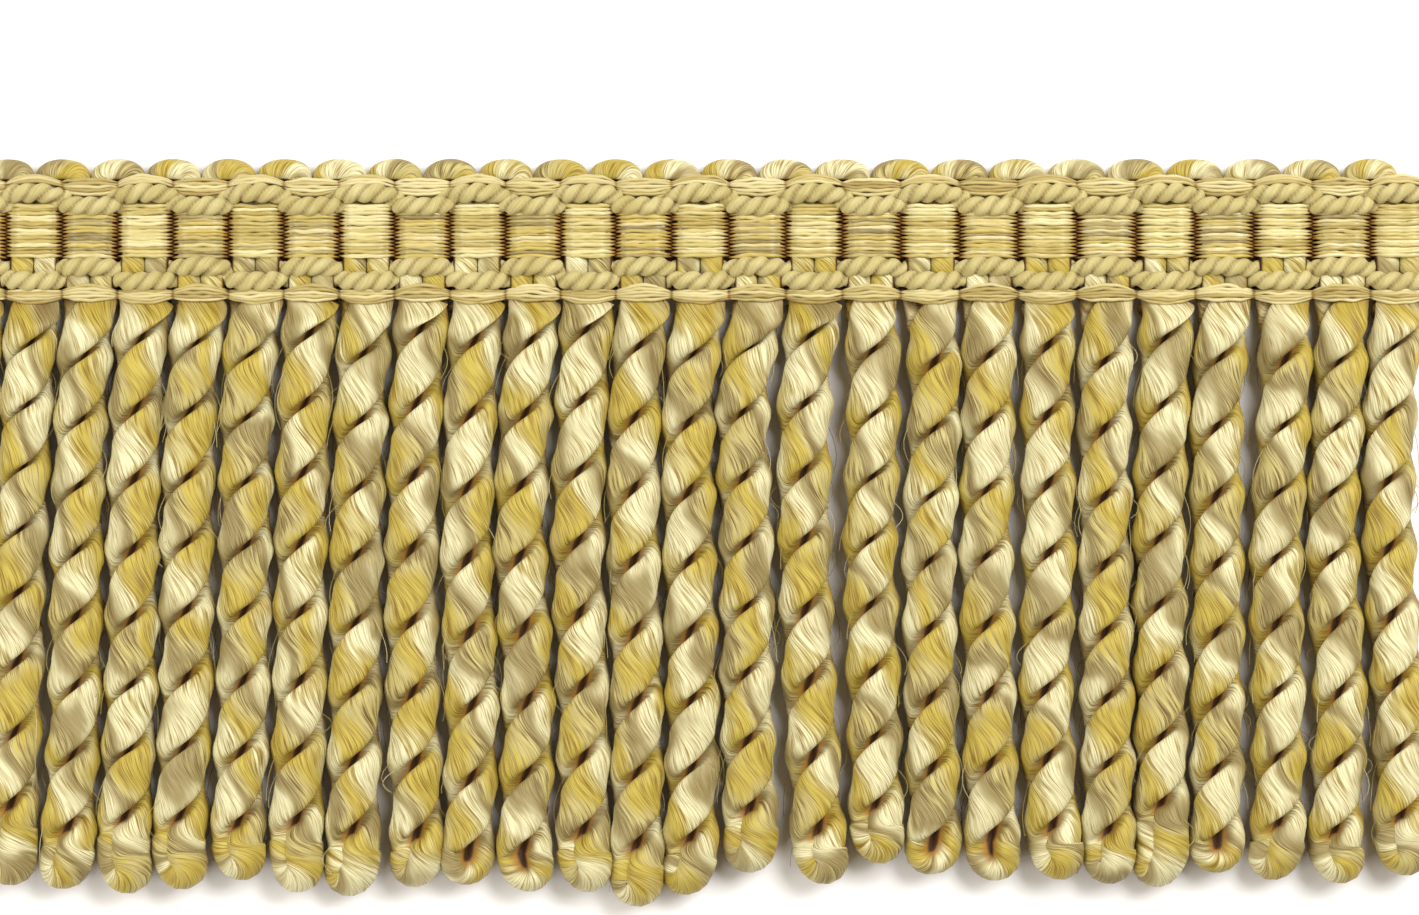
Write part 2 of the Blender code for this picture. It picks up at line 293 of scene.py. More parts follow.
class YarnMesh:
    """A mesh in the making that holds many closed yarns."""

    def __init__(self) -> None:
        """Starts an empty mesh with the layers that the finishes read."""
        self.bm = bmesh.new()
        self.uv = self.bm.loops.layers.uv.new(YARN_UV)
        self.crease_shade_mask = self.bm.verts.layers.float.new(CREASE_SHADE_MASK)
        self.tone = self.bm.verts.layers.float.new(TONE)

    def sweep(self, rings: Sequence[Ring], section: Section, seed: float = 0.0) -> None:
        """Adds a yarn: a grid that is rolled round the rings, closed along its seam and capped.

        Args:
            rings: The yarn's sections, in order.
            section: The outline that they share.
            seed: Where in the noise this yarn lies.
        """
        spans = len(rings) - 1
        sides = section.sides
        verts = bmesh.ops.create_grid(
            self.bm, x_segments=spans, y_segments=sides, size=0.5, calc_uvs=True
        )["verts"]
        axes = []
        for index, ring in enumerate(rings):
            before = rings[max(index - 1, 0)].centre
            after = rings[min(index + 1, spans)].centre
            forward = (after - before).normalized()
            out = (ring.out - forward * ring.out.dot(forward)).normalized()
            axes.append((out, forward.cross(out)))
        for vert in verts:
            index = round((vert.co.x + 0.5) * spans)
            turn = round((vert.co.y + 0.5) * sides) / sides - 0.5
            ring = rings[index]
            away, across, crease_shade_mask = section.point(turn * 2 * math.pi, ring, seed)
            out, side = axes[index]
            vert.co = (ring.centre + out * away + side * across) * MM
            vert[self.crease_shade_mask] = crease_shade_mask
            vert[self.tone] = ring.tone
        for face in {face for vert in verts for face in vert.link_faces}:
            for loop in face.loops:
                corner = loop[self.uv]
                share = corner.uv.x * spans
                index = min(int(share + 0.5), spans)
                corner.uv = (corner.uv.y, rings[index].along)
        bmesh.ops.remove_doubles(self.bm, verts=verts, dist=1e-7)
        kept = [vert for vert in verts if vert.is_valid]
        rims = {edge for vert in kept for edge in vert.link_edges if edge.is_boundary}
        bmesh.ops.holes_fill(self.bm, edges=list(rims))

    def piece(self, name: str, material: bpy.types.Material) -> bpy.types.Object:
        """Returns the finished mesh as an object of the scene.

        Args:
            name: The piece's name.
            material: Its finish.

        Returns:
            The object, smooth but for the rims of its cut ends.
        """
        bmesh.ops.recalc_face_normals(self.bm, faces=self.bm.faces)
        mesh = bpy.data.meshes.new(name)
        self.bm.to_mesh(mesh)
        self.bm.free()
        mesh.shade_smooth()
        mesh.set_sharp_from_angle(angle=math.radians(70))
        mesh.materials.append(material)
        obj = bpy.data.objects.new(name, mesh)
        bpy.context.scene.collection.objects.link(obj)
        return obj


class Nodes:
    """The node tree of a finish, with short calls for the nodes that it is made of."""

    def __init__(self, name: str) -> None:
        """Starts a material with a Principled shader."""
        self.material = bpy.data.materials.new(name)
        self.material.use_nodes = True
        self.tree = self.material.node_tree
        self.shader = self.tree.nodes["Principled BSDF"]

    def link(self, source: bpy.types.NodeSocket, target: bpy.types.NodeSocket) -> None:
        """Links two sockets."""
        self.tree.links.new(source, target)

    def feed(self, socket: bpy.types.NodeSocket, value: object) -> None:
        """Links a socket to its source, or sets its value if the source is plain."""
        if isinstance(value, bpy.types.NodeSocket):
            self.link(value, socket)
        else:
            socket.default_value = value

    def math(self, operation: str, *values: object) -> bpy.types.NodeSocket:
        """Returns the result of a Math node."""
        node = self.tree.nodes.new("ShaderNodeMath")
        node.operation = operation
        for socket, value in zip(node.inputs, values):
            self.feed(socket, value)
        return node.outputs[0]

    def vector(self, x: object, y: object, z: object) -> bpy.types.NodeSocket:
        """Returns three values as a vector."""
        node = self.tree.nodes.new("ShaderNodeCombineXYZ")
        for socket, value in zip(node.inputs, (x, y, z)):
            self.feed(socket, value)
        return node.outputs[0]

    def noise(self, place: object, scale: float, detail: float = 1.0) -> bpy.types.NodeSocket:
        """Returns the value of a Noise Texture, about 0 to 1."""
        node = self.tree.nodes.new("ShaderNodeTexNoise")
        self.feed(node.inputs["Vector"], place)
        node.inputs["Scale"].default_value = scale
        node.inputs["Detail"].default_value = detail
        return node.outputs["Fac"]

    def ramp(
        self, share: object, stops: Sequence[tuple[float, tuple]], smooth: bool = True
    ) -> bpy.types.NodeSocket:
        """Returns the colour of a Color Ramp.

        Args:
            share: The socket that is looked up.
            stops: Places from 0 to 1, each with its colour.
            smooth: Whether the colours ease into one another.

        Returns:
            The colour socket.
        """
        node = self.tree.nodes.new("ShaderNodeValToRGB")
        node.color_ramp.interpolation = "EASE" if smooth else "LINEAR"
        elements = node.color_ramp.elements
        while len(elements) < len(stops):
            elements.new(0.5)
        for element, (place, colour) in zip(elements, stops):
            element.position = place
            element.color = colour
        self.feed(node.inputs["Fac"], share)
        return node.outputs["Color"]

    def blend(
        self, share: object, first: object, second: object, how: str = "MIX"
    ) -> bpy.types.NodeSocket:
        """Returns two colours mixed by a share.

        Args:
            share: How much of the second colour.
            first: A colour or a socket.
            second: A colour or a socket.
            how: The Mix node's blend type.

        Returns:
            The colour socket.
        """
        node = self.tree.nodes.new("ShaderNodeMix")
        node.data_type = "RGBA"
        node.blend_type = how
        self.feed(node.inputs["Factor"], share)
        self.feed(node.inputs[6], first)
        self.feed(node.inputs[7], second)
        return node.outputs[2]

    def ease(self, value: object, low: float, high: float, most: float) -> bpy.types.NodeSocket:
        """Returns a value eased from 0 at low to most at high."""
        node = self.tree.nodes.new("ShaderNodeMapRange")
        node.interpolation_type = "SMOOTHSTEP"
        for name, number in (("From Min", low), ("From Max", high), ("To Max", most)):
            node.inputs[name].default_value = number
        self.feed(node.inputs["Value"], value)
        return node.outputs["Result"]

    def attribute(self, name: str) -> bpy.types.NodeSocket:
        """Returns a number that the mesh carries."""
        node = self.tree.nodes.new("ShaderNodeAttribute")
        node.attribute_name = name
        return node.outputs["Fac"]

    def yarn_place(self) -> tuple[bpy.types.NodeSocket, bpy.types.NodeSocket]:
        """Returns how far round and how far along its yarn a point lies."""
        uv = self.tree.nodes.new("ShaderNodeUVMap")
        uv.uv_map = YARN_UV
        split = self.tree.nodes.new("ShaderNodeSeparateXYZ")
        self.link(uv.outputs["UV"], split.inputs[0])
        return split.outputs[0], split.outputs[1]

    def height(self) -> bpy.types.NodeSocket:
        """Returns the height above the floor."""
        coordinates = self.tree.nodes.new("ShaderNodeTexCoord")
        split = self.tree.nodes.new("ShaderNodeSeparateXYZ")
        self.link(coordinates.outputs["Object"], split.inputs[0])
        return split.outputs[2]

    def bump(self, height: object, distance: float, strength: float) -> None:
        """Raises the surface by a height socket, in metres of full height."""
        node = self.tree.nodes.new("ShaderNodeBump")
        node.inputs["Strength"].default_value = strength
        node.inputs["Distance"].default_value = distance
        self.feed(node.inputs["Height"], height)
        self.link(node.outputs["Normal"], self.shader.inputs["Normal"])

    def gloss(self, roughness: float, sheen: float, sheen_tint: tuple, specular: float) -> None:
        """Sets the shader's own gloss."""
        self.shader.inputs["Roughness"].default_value = roughness
        self.shader.inputs["Sheen Weight"].default_value = sheen
        self.shader.inputs["Sheen Roughness"].default_value = 0.4
        self.shader.inputs["Sheen Tint"].default_value = sheen_tint
        self.shader.inputs["Specular IOR Level"].default_value = specular


@dataclass(frozen=True)
class SilkyYarnFinish:
    """Soft lustrous yarn of cream, gold and taupe strands that are twisted together."""

    name: str
    cream: tuple = linear(220, 216, 174)
    straw: tuple = linear(192, 180, 118)
    gold: tuple = linear(186, 167, 74)
    taupe: tuple = linear(154, 140, 92)
    # painted shade: orange-brown at the rim of a crease and near black deep in it
    edge: tuple = linear(152, 106, 32)
    crease_shade: tuple = linear(58, 30, 3)
    shade: tuple = linear(168, 122, 40)  # painted shade that darkens and browns the side nearest the floor
    hollow_shade: tuple = linear(162, 134, 62)  # that darkens the lines between the threads: partly painted shade in their hollows, partly the threads' own tone
    threads: float = 22.0  # in one turn of the strands
    cycle: float = 0.72  # colour cycles for each turn of the strands
    shade_top: float = 0.0038  # height at which the painted floor shade has died out

    def make(self) -> bpy.types.Material:
        """Returns the material."""
        nodes = Nodes(self.name)
        round_share, along = nodes.yarn_place()
        turned = nodes.math("ADD", along, round_share)
        drift = nodes.noise(nodes.vector(turned, round_share, 0.0), 1.3, 1.0)
        strand = self.lines(nodes, turned, round_share, self.threads * 0.8, 4.0)
        thread = self.lines(nodes, turned, round_share, self.threads * 2.4, 9.0)
        place = nodes.math("MULTIPLY", turned, self.cycle)
        for line, weight in ((drift, 1.1), (strand, 0.26), (thread, 0.3)):
            place = nodes.math("ADD", place, nodes.math("MULTIPLY", line, weight))
        hue = nodes.ramp(
            nodes.math("FRACT", place),
            (
                (0.00, self.gold),
                (0.12, self.gold),
                (0.26, self.straw),
                (0.38, self.cream),
                (0.54, self.cream),
                (0.68, self.taupe),
                (0.76, self.taupe),
                (0.88, self.straw),
                (1.00, self.gold),
            ),
        )
        # the lines between the threads darken the colour: partly painted shade in their hollows, partly
        # the threads' own tone
        lines = nodes.math("MULTIPLY_ADD", strand, 0.7, -0.2)
        lines = nodes.math("MULTIPLY_ADD", thread, 1.5, lines)
        share = nodes.ease(lines, 0.45, 1.15, 1.0)
        tint = nodes.blend(share, self.hollow_shade, (1.0, 1.0, 1.0, 1.0))
        hue = nodes.blend(1.0, hue, tint, "MULTIPLY")
        # painted shade: darker and browner towards the floor
        shaded = nodes.blend(1.0, hue, self.shade, "MULTIPLY")
        hue = nodes.blend(nodes.ease(nodes.height(), 0.0, self.shade_top, 1.0), shaded, hue)
        # painted shade: orange-brown at a crease's rim, near black inside it
        crease_shade_mask = nodes.attribute(CREASE_SHADE_MASK)
        hue = nodes.blend(nodes.ease(crease_shade_mask, 0.08, 0.4, 0.85), hue, self.edge)
        hue = nodes.blend(nodes.ease(crease_shade_mask, 0.36, 0.62, 1.0), hue, self.crease_shade)
        nodes.feed(nodes.shader.inputs["Base Color"], hue)
        nodes.bump(nodes.math("MULTIPLY_ADD", strand, 0.35, thread), 0.00005, 1.0)
        nodes.gloss(0.6, 0.1, linear(255, 240, 200), 0.32)
        return nodes.material

    def lines(
        self, nodes: Nodes, turned: object, round_share: object, number: float, seed: float
    ) -> bpy.types.NodeSocket:
        """Returns lines that follow the threads.

        Args:
            nodes: The finish that takes them.
            turned: The place across the threads.
            round_share: The place round the yarn.
            number: Of light and dark lines in one turn of the strands.
            seed: Where in the noise the lines are taken.

        Returns:
            A value of about 0.2 to 0.8.
        """
        across = nodes.math("MULTIPLY", turned, number)
        up = nodes.math("MULTIPLY", round_share, 3.4)
        return nodes.noise(nodes.vector(across, up, seed), 1.0, 2.0)


@dataclass(frozen=True)
class MattCordFinish:
    """Matt khaki-straw yarn of the heading's twisted warp cords."""

    name: str
    light: tuple = linear(200, 189, 136)
    dark: tuple = linear(170, 155, 94)
    # painted shade in the grooves between the strands
    crease_shade: tuple = linear(104, 72, 18)

    def make(self) -> bpy.types.Material:
        """Returns the material."""
        nodes = Nodes(self.name)
        round_share, along = nodes.yarn_place()
        turned = nodes.math("ADD", along, round_share)
        fibre = nodes.noise(
            nodes.vector(
                nodes.math("MULTIPLY", turned, 26.0), nodes.math("MULTIPLY", round_share, 3.0), 2.0
            ),
            1.0,
            3.0,
        )
        patch = nodes.noise(nodes.vector(along, round_share, 5.0), 1.4, 1.0)
        hue = nodes.ramp(
            nodes.math("MULTIPLY_ADD", fibre, 0.6, nodes.math("MULTIPLY", patch, 0.4)),
            ((0.25, self.dark), (0.75, self.light)),
        )
        # painted shade in the grooves between the strands
        hue = nodes.blend(nodes.math("MULTIPLY", nodes.attribute(CREASE_SHADE_MASK), 0.65), hue, self.crease_shade)
        nodes.feed(nodes.shader.inputs["Base Color"], hue)
        nodes.bump(fibre, 0.00012, 0.6)
        nodes.gloss(0.78, 0.35, linear(255, 244, 205), 0.25)
        return nodes.material


@dataclass(frozen=True)
class ThreadFinish:
    """Fine satin warp threads, each with its own shade."""

    name: str
    shades: tuple
    # painted shade colours for the creases
    edge: tuple = linear(160, 108, 24)
    crease_shade: tuple = linear(72, 38, 5)
    roughness: float = 0.4

    def make(self) -> bpy.types.Material:
        """Returns the material."""
        nodes = Nodes(self.name)
        round_share, along = nodes.yarn_place()
        streak = nodes.noise(
            nodes.vector(
                nodes.math("MULTIPLY", along, 4.0), nodes.math("MULTIPLY", round_share, 4.0), 1.0
            ),
            1.2,
            2.0,
        )
        streaks = nodes.math("MULTIPLY_ADD", streak, 0.5, -0.25)
        tone = nodes.math("ADD", nodes.attribute(TONE), streaks)
        last = len(self.shades) - 1
        stops = [(index / last, shade) for index, shade in enumerate(self.shades)]
        hue = nodes.ramp(tone, stops, smooth=False)
        # painted shade where the threads dive into a crease: brownish at its rim, dark inside
        crease_shade_mask = nodes.attribute(CREASE_SHADE_MASK)
        hue = nodes.blend(nodes.ease(crease_shade_mask, 0.1, 0.65, 0.8), hue, self.edge)
        hue = nodes.blend(nodes.ease(crease_shade_mask, 0.6, 1.0, 0.9), hue, self.crease_shade)
        nodes.feed(nodes.shader.inputs["Base Color"], hue)
        nodes.bump(streak, 0.00006, 0.7)
        nodes.gloss(self.roughness, 0.2, linear(255, 244, 210), 0.5)
        return nodes.material


@dataclass(frozen=True)
class ShadeSheetFinish:
    """Fine binding threads seen only between the yarns, painted dark brown as the shade in the gaps
    there.
    """

    name: str
    # painted shade: dark browns for the gaps between the yarns
    light: tuple = linear(150, 112, 48)
    dark: tuple = linear(84, 54, 16)
    pitch: float = 0.35

    def make(self) -> bpy.types.Material:
        """Returns the material."""
        nodes = Nodes(self.name)
        coordinates = nodes.tree.nodes.new("ShaderNodeTexCoord")
        split = nodes.tree.nodes.new("ShaderNodeSeparateXYZ")
        nodes.link(coordinates.outputs["Object"], split.inputs[0])
        step = 2 * math.pi / (self.pitch * MM)
        across = nodes.math("SINE", nodes.math("MULTIPLY", split.outputs[0], step))
        up = nodes.math("SINE", nodes.math("MULTIPLY", split.outputs[1], step))
        weave = nodes.math("MULTIPLY_ADD", nodes.math("MULTIPLY", across, up), 0.5, 0.5)
        nodes.feed(
            nodes.shader.inputs["Base Color"],
            nodes.ramp(weave, ((0.0, self.dark), (1.0, self.light))),
        )
        nodes.bump(weave, 0.0001, 0.6)
        nodes.gloss(0.8, 0.2, linear(255, 240, 200), 0.2)
        return nodes.material


@dataclass(frozen=True)
class FloorFinish:
    """A plain white surface."""

    name: str = "white_floor"
    colour: tuple = linear(250, 250, 250)

    def make(self) -> bpy.types.Material:
        """Returns the material."""
        nodes = Nodes(self.name)
        nodes.shader.inputs["Base Color"].default_value = self.colour
        nodes.shader.inputs["Roughness"].default_value = 0.9
        return nodes.material


@dataclass
class FringeCords:
    """A run of neighbouring cords: each is one yarn that is twisted on itself and folds at its tip."""

    name: str
    first: int
    last: int
    node: str
    layout: Layout
    ply_offset: float = 1.38  # from the cord's axis to a ply's
    half_out: float = 1.5
    side_by_side: float = 1.58  # half a ply's width where the plies lie side by side
    on_top: float = 2.2  # and where one lies on the other
    flatness: float = 0.88  # height of a cord that lies on the floor, as a share of its width
    cord_height: float = 2.55  # of the axis
    root_depth: float = -0.9
    root_spread: float = 0.3  # how much wider a ply spreads under the heading
    root_press: float = 0.42  # height of a root, as a share of the cord's
    full_size_depth: float = 2.7
    step: float = 0.42  # along the cord's axis
    fold_steps: int = 11
    ease_length: float = 2.2  # over which the twist dies out past the last crossing
    ease_lead: float = 0.2  # how far above the last crossing this starts
    fan: float = 0.26  # how much thicker the yarn spreads at the fold
    fan_offset: float = 0.9  # from the axis to a ply's at the fold
    fan_lead: float = 0.7  # how far past the last crossing the plies start to merge
    fan_length: float = 1.5  # over which they merge
    fan_drop: float = 1.0  # how much longer than wide the fold is
    fold_bluntness: float = 0.12
    fold_lean: float = 0.7  # the most that a fold leans to either side
    fold_gain: float = 1.7  # how much closer the strands turn in the fold
    turn: float = 5.4  # length in which the strands turn once in the yarn
    closed_on_top: float = 0.6  # of the crease, where one ply lies on the other
    closed_at_fold: float = 0.95  # and where the plies merge
    section: Section = Section(sides=24, pinch=0.52, unevenness=0.08, deep_from=0.4)

    def twist(self, cord: Cord, depth: float) -> float:
        """Returns the turn of the plies, which comes to rest just past the last crossing."""
        start = cord.eighth - self.ease_lead
        if depth <= start:
            return self.layout.lay_angle(cord, depth)
        share = min((depth - start) / self.ease_length, 1.0)
        rate = self.layout.lay_angle(cord, start + 0.5) - self.layout.lay_angle(cord, start - 0.5)
        return self.layout.lay_angle(cord, start) + rate * self.ease_length * (share - share**2 / 2)

    def strand(self, cord: Cord, side: int, fold: float) -> list[Ring]:
        """Returns one ply from the root down to the fold.

        Args:
            cord: The cord.
            side: 1 or -1, for the ply on either side of the axis.
            fold: The depth at which the plies stop and the fold begins.

        Returns:
            The ply's rings, from its root.
        """
        steps = round((fold - self.root_depth) / self.step)
        rings = []
        for index in range(steps + 1):
            depth = mix(self.root_depth, fold, index / steps)
            grown = self.grown(depth)
            angle = self.twist(cord, depth)
            over = math.sin(angle) ** 2
            pressed = mix(1.0, self.flatness, over)
            radial = Vector((math.cos(angle), 0.0, math.sin(angle))) * side
            axis = Vector(
                (
                    self.layout.axis_x(cord, depth),
                    self.layout.heading_edge - depth,
                    self.cord_height,
                )
            )
            fanned = smoothstep((depth - cord.eighth - self.fan_lead) / self.fan_length)
            on_top = self.on_top * (1 + self.root_spread * (1 - grown))
            half_side = mix(self.side_by_side, on_top, over) * (1 + self.fan * fanned)
            offset = mix(self.ply_offset, self.fan_offset, fanned)
            half_out = (self.ply_offset + self.half_out - offset) * pressed
            centre = axis + radial * offset * pressed
            closed = max(self.closed_on_top * over, self.closed_at_fold * fanned)
            rings.append(Ring(centre, radial, half_out, half_side, closed=closed))
        return rings

    def grown(self, depth: float) -> float:
        """Returns how far a cord has risen from its pressed root at a depth, from 0 to 1."""
        return smoothstep((depth - self.root_depth) / (self.full_size_depth - self.root_depth))

    def press(self, mesh: YarnMesh) -> None:
        """Presses the roots flat under the heading's edge, and the undersides on the floor."""
        for vert in mesh.bm.verts:
            depth = self.layout.heading_edge - vert.co.y / MM
            share = mix(self.root_press, 1.0, self.grown(depth))
            vert.co.z = max(vert.co.z * share, 0.0)

    def fold_rings(self, start: Ring, end: Ring, lean: float) -> list[Ring]:
        """Returns the half turn that joins the two plies at the tip.

        Args:
            start: The last ring of the ply that comes down.
            end: The last ring of the ply that goes up.
            lean: How far the fold leans to the side of the ply that comes down.

        Returns:
            The rings between the two.
        """
        middle = (start.centre + end.centre) / 2
        reach = (start.centre - end.centre).length / 2
        sideways = (start.centre - middle).normalized()
        down = Vector((0.0, -1.0, 0.0))
        rings = []
        for index in range(1, self.fold_steps):
            angle = math.pi * index / self.fold_steps
            out = sideways * math.cos(angle) + down * math.sin(angle)
            blunt = 1 + self.fold_bluntness * math.sin(2 * angle) ** 2
            drop = (down * self.fan_drop + sideways * lean) * math.sin(angle)
            centre = middle + out * reach * blunt + drop
            rings.append(replace(start, centre=centre, out=out, gain=self.fold_gain))
        return rings

    def build(self) -> YarnMesh:
        """Returns the mesh of the run's cords."""
        mesh = YarnMesh()
        for index in range(self.first, self.last):
            cord = self.layout.cords[index]
            draw = random.Random(100 + index)
            fold = cord.length - self.ply_offset - self.half_out - self.fan_drop
            down = self.strand(cord, 1, fold)
            up = self.strand(cord, -1, fold)
            lean = draw.uniform(-self.fold_lean, self.fold_lean)
            rings = down + self.fold_rings(down[-1], up[-1], lean) + up[::-1]
            rings = with_lengths(rings, self.turn, draw.uniform(0, 60))
            mesh.sweep(rings, self.section, draw.uniform(0, 50))
        self.press(mesh)
        return mesh

    def dress(self, material: bpy.types.Material) -> bpy.types.Object:
        """Returns the run as a piece that stands for its half of the fringe."""
        piece = self.build().piece(self.name, material)
        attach(piece, "root")
        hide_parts(self.node)
        return piece


@dataclass
class LooseFibres:
    """Fine fibres that stand off the cords and cross the gaps between them."""

    layout: Layout
    for_each_cord: int = 20
    half_thickness: float = 0.03
    start: float = 1.9  # from the cord's axis, inside the cord
    reach: float = 1.5  # the most that a fibre stands off from there
    shortest: float = 2.0
    longest: float = 6.5
    lowest: float = 0.8
    highest: float = 4.3
    clear: float = 1.5  # of the cord's tip
    waver: float = 0.7  # of its height
    steps: int = 6
    turn: float = 20.0
    section: Section = Section(sides=3)

    def fibre(self, cord: Cord, draw: random.Random) -> list[Ring]:
        """Returns one fibre that arches out from a side of its cord.

        Args:
            cord: The cord.
            draw: The source of its place and shape.

        Returns:
            The fibre's rings, from the top down.
        """
        side = draw.choice((-1, 1))
        length = draw.uniform(self.shortest, self.longest)
        top = draw.uniform(1.0, cord.length - length - self.clear)
        reach = draw.uniform(0.3, 1.0) * self.reach
        swing = math.pi * draw.uniform(0.5, 1.0)
        height = draw.uniform(self.lowest, self.highest)
        up = Vector((0.0, 0.0, 1.0))
        rings = []
        for step in range(self.steps + 1):
            share = step / self.steps
            depth = top + length * share
            away = self.start + reach * math.sin(swing * share)
            x = self.layout.axis_x(cord, depth) + side * away
            z = height + self.waver * noise.noise(Vector((depth * 0.4, x, height)))
            place = Vector((x, self.layout.heading_edge - depth, z))
            rings.append(Ring(place, up, self.half_thickness, self.half_thickness))
        return rings

    def dress(self, material: bpy.types.Material) -> bpy.types.Object:
        """Returns all the fibres as one piece."""
        mesh = YarnMesh()
        draw = random.Random(7)
        for cord in self.layout.cords:
            for _ in range(self.for_each_cord):
                rings = with_lengths(self.fibre(cord, draw), self.turn, draw.uniform(0, 9))
                mesh.sweep(rings, self.section)
        piece = mesh.piece("loose_fibres", material)
        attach(piece, "root")
        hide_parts("fringe_left", "fringe_right")
        return piece


@dataclass(frozen=True)
class WarpRun:
    """The course of a warp cord or thread along the heading, in millimetres."""

    outer_y: float  # at the middle of a column of the outer kind
    outer_z: float
    inner_y: float  # at the middle of a column of the inner kind
    inner_z: float
    edge_y: float  # between two columns
    edge_z: float

    def place(self, kind: ColumnKind, share: float, crown: float) -> tuple[float, float]:
        """Returns the y and z at a share of the way from a column's middle to its edge.

        Args:
            kind: The column's kind.
            share: From -1 to 1, 0 at the middle.
            crown: How square the run's crown is: 2 is round and more is flatter.

        Returns:
            The y and z.
        """
        outer = kind is ColumnKind.OUTER
        y, z = (self.outer_y, self.outer_z) if outer else (self.inner_y, self.inner_z)
        rise = 1 - abs(share) ** crown
        return mix(self.edge_y, y, 1 - share * share), mix(self.edge_z, z, rise)


@dataclass
class Heading:
    """The woven heading: weft loops, twisted warp cords, satin floats and edge bands."""

    layout: Layout

    def stations(self, steps: int) -> Iterator[tuple[int, float, float]]:
        """Yields points along the heading.

        Args:
            steps: How many for each column.

        Yields:
            The column, the share from its middle to its edge, and the x.
        """
        edges = self.layout.edges()
        for index, cord in enumerate(self.layout.cords):
            for step in range(steps):
                share = -1 + 2 * step / steps
                side = edges[index] if share < 0 else edges[index + 1]
                yield index, share, cord.root + abs(share) * (side - cord.root)
        yield len(self.layout.cords) - 1, 1.0, edges[-1]

    def warp_rings(
        self,
        run: WarpRun,
        steps: int,
        crown: float,
        size: Callable[[float], tuple[float, float]],
        tone: Callable[[int], float] = lambda index: 0.5,
        wander: float = 0.0,
        seed: float = 0.0,
        shadow: Callable[[float], float] = lambda share: 0.0,
    ) -> list[Ring]:
        """Returns the rings of a warp cord or thread.

        Args:
            run: Its course.
            steps: Rings for each column.
            crown: How square its crowns are.
            size: Gives half its height and half its width at a share from a column's middle.
            tone: Gives its shade over a column.
            wander: How far it strays to either side.
            seed: Where in the noise it lies.
            shadow: Gives how much painted shade it gets at a share from a column's middle, as in a
                crease.

        Returns:
            The rings from the left end to the right end.
        """
        rings = []
        up = Vector((0.0, 0.0, 1.0))
        for index, share, x in self.stations(steps):
            y, z = run.place(self.layout.kind(index), share, crown)
            y += wander * noise.noise(Vector((x * 0.8, seed, 0.0)))
            z += wander * 0.6 * noise.noise(Vector((x * 0.8, seed, 9.0)))
            high, wide = size(share)
            place = Vector((x, y, z))
            rings.append(Ring(place, up, high, wide, 0.0, tone(index), shadow(share)))
        return rings


@dataclass
class WarpCords(Heading):
    """The four matt twisted cords that run along the heading, two above and two below."""

    half_height: float = 0.94
    half_width: float = 1.02
    turn: float = 3.1
    wander: float = 0.12
    steps: int = 26
    crown: float = 2.6
    runs: tuple[WarpRun, ...] = (
        WarpRun(3.75, 2.62, 3.55, 1.05, 3.4, 1.75),
        WarpRun(2.6, 1.05, 2.35, 2.62, 2.6, 1.75),
        WarpRun(-3.75, 1.05, -3.6, 2.62, -3.9, 1.75),
        WarpRun(-5.15, 2.62, -4.95, 1.05, -4.85, 1.75),
    )
    section: Section = Section(sides=24, strands=2, groove=0.36, unevenness=0.14)

    def size(self, share: float) -> tuple[float, float]:
        """Returns half the cord's height and width, which is drawn in between columns."""
        drawn = 1 - 0.22 * abs(share) ** 4
        return self.half_height * drawn, self.half_width * drawn

    def dress(self, material: bpy.types.Material) -> bpy.types.Object:
        """Returns the four cords as one piece."""
        mesh = YarnMesh()
        for number, run in enumerate(self.runs):
            rings = self.warp_rings(
                run, self.steps, self.crown, self.size, wander=self.wander, seed=number * 7.0
            )
            rings = with_lengths(rings, self.turn, number * 3.37)
            mesh.sweep(rings, self.section, number * 11.0)
        piece = mesh.piece("warp_cords", material)
        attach(piece, "root")
        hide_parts("heading")
        return piece


